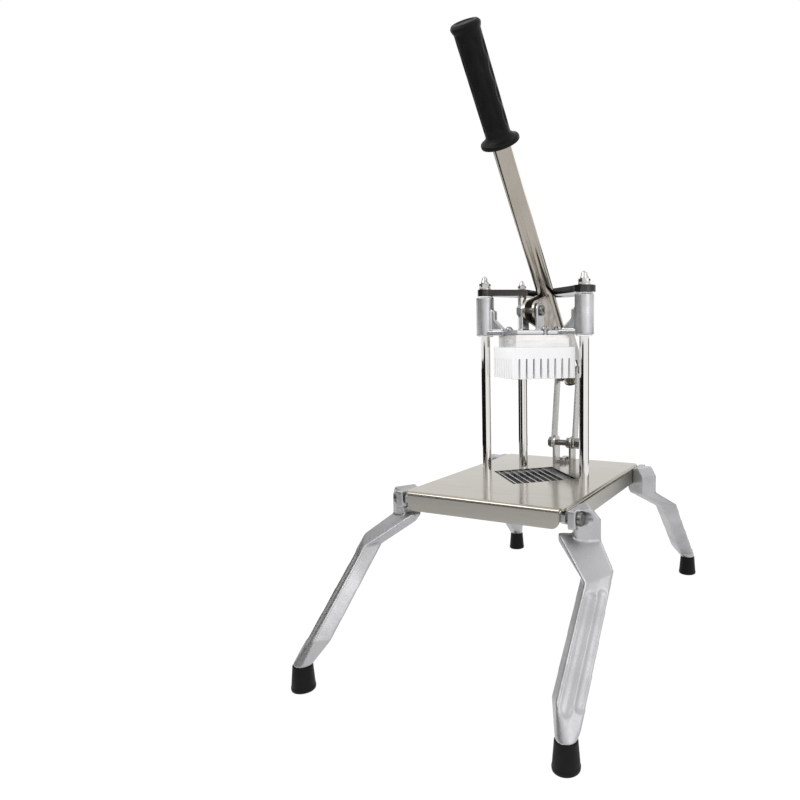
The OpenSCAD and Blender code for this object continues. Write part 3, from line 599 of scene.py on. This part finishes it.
class FRYCUTTER_OT_rods(bpy.types.Operator):
    """Polish the three guide rods and make their domed nuts and washers"""
    bl_idname = "frycutter.rods"
    bl_label = "Rods and cap nuts"

    def execute(self, context):
        settings = context.scene.frycutter_steel
        rod = tuple(settings.rod_colour)
        dress(finish("Polished rod", rod, tinted(rod, 0.90), smooth=0.05, rough=0.10,
                     mottle=30.0, grain=500.0, stretch=(1.0, 1.0, 0.04), relief=0.000003),
              "guide_rod_left", "guide_rod_right", "back_rod")
        bright = finish("Bright nut", (0.66, 0.65, 0.63), (0.40, 0.39, 0.38), smooth=0.06,
                        rough=0.14, mottle=120.0, grain=1800.0, relief=0.00001)
        settle(eased_copy("tie_washers", "tie_washers_bright", 0.0003), "base", "polished_rod",
               bright, "tie_washers")
        nuts = bmesh.new()
        for low, high in solids_of("cap_nuts"):
            add_shape(nuts, self.cap_nut(low, high))
        piece = object_from(nuts, "cap_nuts_domed")
        smooth_up_to(piece, 32.0)
        settle(piece, "base", "polished_rod", bright, "cap_nuts")
        return {"FINISHED"}

    def cap_nut(self, low, high):
        """A hexagon with chamfered corners and a narrower dome that tapers upwards."""
        flats = min(high.x - low.x, high.y - low.y)
        thread = flats / FLATS_PER_THREAD
        tall, hexagon = high.z - low.z, thread * HEXAGON_SHARE
        middle = Matrix.Translation(((low.x + high.x) / 2, (low.y + high.y) / 2, low.z))
        corner = flats / math.sqrt(3.0)
        nut = bmesh.new()
        bmesh.ops.create_cone(nut, cap_ends=True, segments=6, radius1=corner, radius2=corner,
                              depth=hexagon, matrix=Matrix.Translation((0.0, 0.0, hexagon / 2)))
        bmesh.ops.bevel(nut, geom=nut.edges[:], offset=thread * CHAMFER_SHARE, offset_type="OFFSET",
                        segments=3, profile=0.5, affect="EDGES", clamp_overlap=True, material=-1)
        base, top, sunk, step = thread * DOME_BASE_SHARE, thread * DOME_TOP_SHARE, 0.0003, 0.0006
        crown = top * 0.9
        straight = tall - crown
        outline = [(base, hexagon - sunk), (base, hexagon + step)]
        outline += [(base + (top - base) * k / 4,
                     hexagon + step + (straight - hexagon - step) * k / 4) for k in range(1, 5)]
        outline += [(top * math.cos(math.radians(turn)),
                     straight + crown * math.sin(math.radians(turn))) for turn in range(10, 90, 10)]
        outline.append((0.0, tall))
        add_shape(nut, turned(outline, 48))
        bmesh.ops.transform(nut, matrix=middle, verts=nut.verts)
        return nut


class FRYCUTTER_OT_fasteners(bpy.types.Operator):
    """Finish every bolt, nut, stud, screw and washer"""
    bl_idname = "frycutter.fasteners"
    bl_label = "Fasteners"

    def execute(self, context):
        zinc = finish("Zinc fastener", (0.52, 0.52, 0.52), (0.34, 0.34, 0.35), smooth=0.20,
                      rough=0.36, mottle=140.0, grain=2200.0, relief=0.00002)
        dark = finish("Dark bolt", (0.25, 0.245, 0.235), (0.13, 0.13, 0.125), smooth=0.24,
                      rough=0.40, mottle=140.0, grain=2200.0, relief=0.00002)
        dress(zinc, "rod_base_washers", "rod_base_nuts", "frame_studs", "bracket_screws",
              "link_bolt_nuts", "leg_nuts", "pivot_nut")
        dress(dark, "tail_pin")
        rows = (("leg_bolts", "base", dark, 0.0008), ("holder_screws", "head", zinc, 0.0003),
                ("link_bolt", "base", dark, 0.0004), ("pivot_bolt", "head", dark, 0.0004))
        for node, body, material, width in rows:
            piece = eased_copy(node, node + "_turned", width)
            settle(piece, body, "fastener_steel", material, node)
        return {"FINISHED"}


class FRYCUTTER_OT_thumb_nuts(bpy.types.Operator):
    """Make the ribbed plastic thumb nuts that hold the blade frame"""
    bl_idname = "frycutter.thumb_nuts"
    bl_label = "Thumb nuts"

    def execute(self, context):
        plastic = finish("Thumb nut plastic", (0.040, 0.040, 0.041), (0.026, 0.026, 0.027),
                         smooth=0.32, rough=0.48, metallic=0.0, mottle=80.0, grain=1600.0,
                         relief=0.00004)
        low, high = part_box("frame_thumb_nuts")
        radius, tall = (high[0] - low[0]) / 2, high[2] - low[2]
        # Ribs round the rim, a groove's radius against the nut's, and the shares of wall and dish
        ribs, groove, wall_share, dish_share = 24, 0.93, 0.25, 0.12
        bm = bmesh.new()
        for middle in (low[1] + radius, high[1] - radius):
            seat = Vector((0.0, middle, low[2]))
            ring = bmesh.ops.create_circle(bm, cap_ends=True, radius=radius, segments=ribs * 4,
                                           matrix=Matrix.Translation(seat))
            for k, vert in enumerate(ring["verts"]):
                if k % 4 in (0, 1):
                    vert.co = seat + (vert.co - seat) * groove
            face = ring["verts"][0].link_faces[0]
            wall = bmesh.ops.extrude_face_region(bm, geom=[face])
            top = [item for item in wall["geom"] if isinstance(item, bmesh.types.BMVert)]
            bmesh.ops.translate(bm, vec=(0.0, 0.0, tall), verts=top)
            cap = [item for item in wall["geom"] if isinstance(item, bmesh.types.BMFace)]
            bmesh.ops.inset_region(bm, faces=cap, thickness=radius * wall_share,
                                   use_even_offset=True)
            bmesh.ops.translate(bm, vec=(0.0, 0.0, -tall * dish_share), verts=cap[0].verts)
        bmesh.ops.recalc_face_normals(bm, faces=bm.faces)
        nuts = object_from(bm, "frame_thumb_nuts_ribbed")
        smooth_up_to(nuts, 25.0)
        settle(nuts, "base", "black_plastic", plastic, "frame_thumb_nuts")
        return {"FINISHED"}


class FRYCUTTER_OT_blades(bpy.types.Operator):
    """Finish the crossed blades and the frame that holds them"""
    bl_idname = "frycutter.blades"
    bl_label = "Blades and frame"

    def execute(self, context):
        # Painted shade and painted reflection: below the ground top edge, the upper blades' flanks
        # are painted nearly black for the dark cells between them. The lower blades' flanks keep
        # their colour.
        for node, name, flank_shade in (("blades_upper", "Upper blade", 0.07),
                                  ("blades_lower", "Lower blade", 1.0)):
            blade = finish(name, (0.95, 0.95, 0.94), (0.80, 0.80, 0.79), smooth=0.24, rough=0.38,
                           mottle=60.0, grain=1600.0, stretch=(1.0, 1.0, 4.0), relief=0.00001)
            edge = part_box(node)[1][2]
            dress(shaded_below(blade, level=edge - 0.0005, blend=0.0003,
                               painted_shading=(flank_shade, flank_shade, flank_shade)), node)
        alloy = finish("Machined frame", (0.62, 0.62, 0.63), (0.50, 0.50, 0.51), smooth=0.26,
                       rough=0.38, mottle=50.0, grain=1400.0, stretch=(0.15, 1.0, 1.0),
                       relief=0.00001)
        dress(alloy, "blade_frame")
        return {"FINISHED"}


class FRYCUTTER_OT_pusher(bpy.types.Operator):
    """Finish the white pusher block, its aluminium holder and the guide bushes"""
    bl_idname = "frycutter.pusher"
    bl_label = "Pusher"

    def execute(self, context):
        edge = context.scene.frycutter_steel.edge
        nylon = finish("White nylon", (0.96, 0.96, 0.955), (0.92, 0.92, 0.915), smooth=0.30,
                       rough=0.42, metallic=0.0, mottle=30.0, grain=900.0, relief=0.00003)
        holder = finish("Machined holder", (0.80, 0.79, 0.78), (0.68, 0.67, 0.66), smooth=0.22,
                        rough=0.34, mottle=40.0, grain=1100.0, stretch=(1.0, 1.0, 8.0),
                        relief=0.00001)
        block = eased_copy("pusher_block", "pusher_block_moulded", 0.0018, segments=5,
                           shortest=0.005)
        settle(block, "head", "white_plastic", nylon, "pusher_block")
        settle(eased_copy("guide_bushes", "guide_bushes_moulded", 0.0003), "head",
               "white_plastic", nylon, "guide_bushes")
        settle(eased_copy("pusher_holder", "pusher_holder_milled", edge), "head",
               "machined_aluminium", holder, "pusher_holder")
        return {"FINISHED"}


class FRYCUTTER_OT_lever(bpy.types.Operator):
    """Finish the lever tube and its end plug"""
    bl_idname = "frycutter.lever"
    bl_label = "Lever tube"

    def execute(self, context):
        tube = tuple(context.scene.frycutter_steel.tube_colour)
        rubber = tuple(context.scene.frycutter_grip.colour)
        dress(finish("Polished lever tube", tube, tinted(tube, 0.88), smooth=0.12, rough=0.20,
                     mottle=26.0, grain=600.0, stretch=(1.0, 1.0, 0.06),
                     turn=(-LEVER_LEAN, 0.0, 0.0), relief=0.000005), "lever_tube")
        dress(finish("Plug rubber", tinted(rubber, 1.3), rubber, smooth=0.40, rough=0.60,
                     metallic=0.0, mottle=60.0, grain=1500.0, relief=0.00005), "tube_plug")
        return {"FINISHED"}


class FRYCUTTER_OT_grip(bpy.types.Operator):
    """Mould the rubber grip: collar, end flange and rows of long dimples"""
    bl_idname = "frycutter.grip"
    bl_label = "Rubber grip"

    def execute(self, context):
        settings = context.scene.frycutter_grip
        colour = tuple(settings.colour)
        body, flange, collar, tall = 0.0140, 0.0160, 0.0220, GRIP_LENGTH
        side_start, side_loss, rings = 0.0105, 0.0190, 120
        lower = [(TUBE_RADIUS, 0.0), (collar - 0.0008, 0.0), (collar, 0.0022),
                 (collar - 0.0004, 0.0050), (body + 0.0030, 0.0066), (body, side_start)]
        upper = [(body, tall - 0.0085), (flange - 0.0006, tall - 0.0058),
                 (flange, tall - 0.0032), (flange - 0.0024, tall), (0.0105, tall),
                 (0.0090, tall - 0.0010), (0.0, tall - 0.0010)]
        side = [(body, side_start + (tall - side_loss) * k / rings) for k in range(1, rings)]
        outline = (rounded(lower + [side[0]], 0.0016)[:-1] + side
                   + rounded([side[-1]] + upper, 0.0014)[1:])
        bm = turned(outline, 120)
        # Where the dimples begin and end, and half a dimple's width and length against its cell
        first, last, half_wide, half_long = 0.016, tall - 0.014, 0.30, 0.40
        pitch = (last - first) / settings.per_row
        for vert in bm.verts:
            reach = math.hypot(vert.co.x, vert.co.y)
            on_the_side = reach >= body - 0.0002
            if not first < vert.co.z < last or not on_the_side:
                continue
            turn = math.atan2(vert.co.y, vert.co.x) / math.tau * settings.rows
            row = math.floor(turn + 0.5)
            across = (turn - row) / half_wide
            shift = 0.5 * (row % 2)
            along = ((vert.co.z - first) / pitch + shift) % 1.0
            along = (along - 0.5) / half_long
            near = across * across + along * along
            if near < 1.0:
                push = settings.depth * (1.0 - near) ** 0.75
                vert.co.x *= (reach - push) / reach
                vert.co.y *= (reach - push) / reach
        bmesh.ops.transform(bm, matrix=lever_place() @ Matrix.Translation((0.0, 0.0, GRIP_START)),
                            verts=bm.verts)
        grip = object_from(bm, "hand_grip_rubber")
        smooth_up_to(grip, 60.0)
        rubber = finish("Grip rubber", tinted(colour, 1.25), colour, smooth=0.40, rough=0.60,
                        metallic=0.0, mottle=50.0, grain=1400.0, relief=0.00008, spec=0.12)
        settle(grip, "lever", "black_rubber", rubber, "hand_grip")
        return {"FINISHED"}


class FRYCUTTER_OT_studio(bpy.types.Operator):
    """Set the floor, the soft lights, the white surroundings and the camera"""
    bl_idname = "frycutter.studio"
    bl_label = "Studio"

    def execute(self, context):
        scene = context.scene
        settings = scene.frycutter_studio
        self.add_floor(settings)
        self.add_cards()
        self.add_world(scene)
        self.add_lights(settings)
        self.add_camera(scene)
        scene.view_settings.view_transform = "Standard"
        return {"FINISHED"}

    def add_floor(self, settings):
        """A matte floor that takes the cutter's shadow and looks nearly white to the camera."""
        glow_strength, glow_share = 1.045, 0.92
        bm = bmesh.new()
        bmesh.ops.create_grid(bm, x_segments=1, y_segments=1, size=6.0)
        bmesh.ops.translate(bm, vec=(0.0, 0.0, -0.0004), verts=bm.verts)
        floor = object_from(bm, "studio_floor")
        material = bpy.data.materials.new("Studio floor")
        material.use_nodes = True
        nodes, links = material.node_tree.nodes, material.node_tree.links
        nodes.clear()
        matte = nodes.new("ShaderNodeBsdfDiffuse")
        matte.inputs["Color"].default_value = (*settings.floor_colour, 1.0)
        glow = nodes.new("ShaderNodeEmission")
        glow.inputs["Color"].default_value = (1.0, 1.0, 1.0, 1.0)
        glow.inputs["Strength"].default_value = glow_strength
        seen = seen_directly(nodes, links)[1]
        share = nodes.new("ShaderNodeMath")
        share.operation = "MULTIPLY"
        share.inputs[1].default_value = glow_share
        links.new(seen, share.inputs[0])
        mix = nodes.new("ShaderNodeMixShader")
        links.new(share.outputs["Value"], mix.inputs["Fac"])
        links.new(matte.outputs["BSDF"], mix.inputs[1])
        links.new(glow.outputs["Emission"], mix.inputs[2])
        out = nodes.new("ShaderNodeOutputMaterial")
        links.new(mix.outputs["Shader"], out.inputs["Surface"])
        floor.data.materials.append(material)

    def add_cards(self):
        """Dark cards that only reflections see, as round a table that metal is photographed on."""
        for name, start, end, low, high, colour in CARDS:
            material = bpy.data.materials.new(name)
            material.use_nodes = True
            shader = material.node_tree.nodes["Principled BSDF"]
            shader.inputs["Base Color"].default_value = (*colour, 1.0)
            shader.inputs["Roughness"].default_value = 1.0
            shader.inputs["Specular IOR Level"].default_value = 0.0
            bm = bmesh.new()
            wall = [bm.verts.new((0.0, CARD_REACH, height)) for height in (low, high)]
            edge = bm.edges.new(wall)
            bmesh.ops.transform(bm, matrix=Matrix.Rotation(math.radians(start), 4, "Z"), verts=wall)
            bmesh.ops.spin(bm, geom=wall + [edge], cent=(0.0, 0.0, 0.0), axis=(0.0, 0.0, 1.0),
                           angle=math.radians(end - start), steps=24)
            card = object_from(bm, name)
            card.data.materials.append(material)
            card.visible_camera = False
            card.visible_diffuse = False
            card.visible_shadow = False
            card.visible_transmission = False

    def add_world(self, scene):
        """A soft pale light from all round, which the camera and reflections see as white."""
        world = bpy.data.worlds.new("White studio")
        scene.world = world
        world.use_nodes = True
        nodes, links = world.node_tree.nodes, world.node_tree.links
        nodes.clear()
        soft = nodes.new("ShaderNodeBackground")
        soft.inputs["Color"].default_value = (0.97, 0.98, 1.0, 1.0)
        soft.inputs["Strength"].default_value = 0.86
        white = nodes.new("ShaderNodeBackground")
        white.inputs["Color"].default_value = (1.0, 1.0, 1.0, 1.0)
        white.inputs["Strength"].default_value = 1.0
        path, seen = seen_directly(nodes, links)
        both = nodes.new("ShaderNodeMath")
        both.operation = "MAXIMUM"
        links.new(seen, both.inputs[0])
        links.new(path.outputs["Is Transmission Ray"], both.inputs[1])
        mix = nodes.new("ShaderNodeMixShader")
        links.new(both.outputs["Value"], mix.inputs["Fac"])
        links.new(soft.outputs["Background"], mix.inputs[1])
        links.new(white.outputs["Background"], mix.inputs[2])
        out = nodes.new("ShaderNodeOutputWorld")
        links.new(mix.outputs["Shader"], out.inputs["Surface"])

    def add_lights(self, settings):
        """Three large square lamps that face the middle of the cutter."""
        target = Vector((0.0, 0.0, 0.25))
        for name, spot, size, power in (("key_light", (-0.9, -1.1, 1.5), 1.0, settings.key),
                                        ("fill_light", (1.5, -0.7, 1.0), 1.2, settings.fill),
                                        ("back_light", (0.4, 1.5, 1.4), 1.0, settings.back)):
            lamp = bpy.data.lights.new(name, "AREA")
            lamp.shape = "SQUARE"
            lamp.size = size
            lamp.energy = power
            light = bpy.data.objects.new(name, lamp)
            light.location = spot
            light.rotation_euler = (target - Vector(spot)).to_track_quat("-Z", "Y").to_euler()
            bpy.context.scene.collection.objects.link(light)

    def add_camera(self, scene):
        """The camera of the product picture, fitted to the plate, the feet and the rods."""
        camera = bpy.data.objects.new("camera", bpy.data.cameras.new("camera"))
        camera.data.sensor_width = 36.0
        camera.data.lens = CAMERA_LENS
        camera.data.shift_x = CAMERA_SHIFT
        camera.data.clip_start = 0.02
        place = Matrix.Translation(CAMERA_PLACE)
        first, second, third = (Matrix.Rotation(math.radians(turn), 4, axis)
                                for turn, axis in CAMERA_TURNS)
        camera.matrix_world = place @ (first @ second @ third)
        scene.collection.objects.link(camera)
        scene.camera = camera


# Panel and registration

OPERATORS = (FRYCUTTER_OT_legs, FRYCUTTER_OT_crosshead, FRYCUTTER_OT_feet,
             FRYCUTTER_OT_sheet_metal, FRYCUTTER_OT_rods, FRYCUTTER_OT_fasteners,
             FRYCUTTER_OT_thumb_nuts, FRYCUTTER_OT_blades, FRYCUTTER_OT_pusher,
             FRYCUTTER_OT_lever, FRYCUTTER_OT_grip, FRYCUTTER_OT_studio)
SETTINGS = (("frycutter_casting", CastingSettings), ("frycutter_steel", SteelSettings),
            ("frycutter_grip", GripSettings), ("frycutter_studio", StudioSettings))


class FRYCUTTER_PT_panel(bpy.types.Panel):
    """Lists the cutter's pieces and their settings"""
    bl_idname = "FRYCUTTER_PT_panel"
    bl_label = "Fry Cutter"
    bl_space_type = "VIEW_3D"
    bl_region_type = "UI"
    bl_category = "Fry Cutter"

    def draw(self, context):
        for label, _ in SETTINGS:
            box = self.layout.box()
            group = getattr(context.scene, label)
            for key in group.bl_rna.properties.keys():
                if key not in ("rna_type", "name"):
                    box.prop(group, key)
        for operator in OPERATORS:
            self.layout.operator(operator.bl_idname)


def register():
    for label, group in SETTINGS:
        bpy.utils.register_class(group)
        setattr(bpy.types.Scene, label, bpy.props.PointerProperty(type=group))
    for item in OPERATORS + (FRYCUTTER_PT_panel,):
        bpy.utils.register_class(item)


def unregister():
    for item in (FRYCUTTER_PT_panel,) + OPERATORS[::-1]:
        bpy.utils.unregister_class(item)
    for label, group in SETTINGS[::-1]:
        delattr(bpy.types.Scene, label)
        bpy.utils.unregister_class(group)


def main():
    register()
    for operator in OPERATORS:
        getattr(bpy.ops.frycutter, operator.bl_idname.split(".")[1])()


if __name__ == "__main__":
    main()
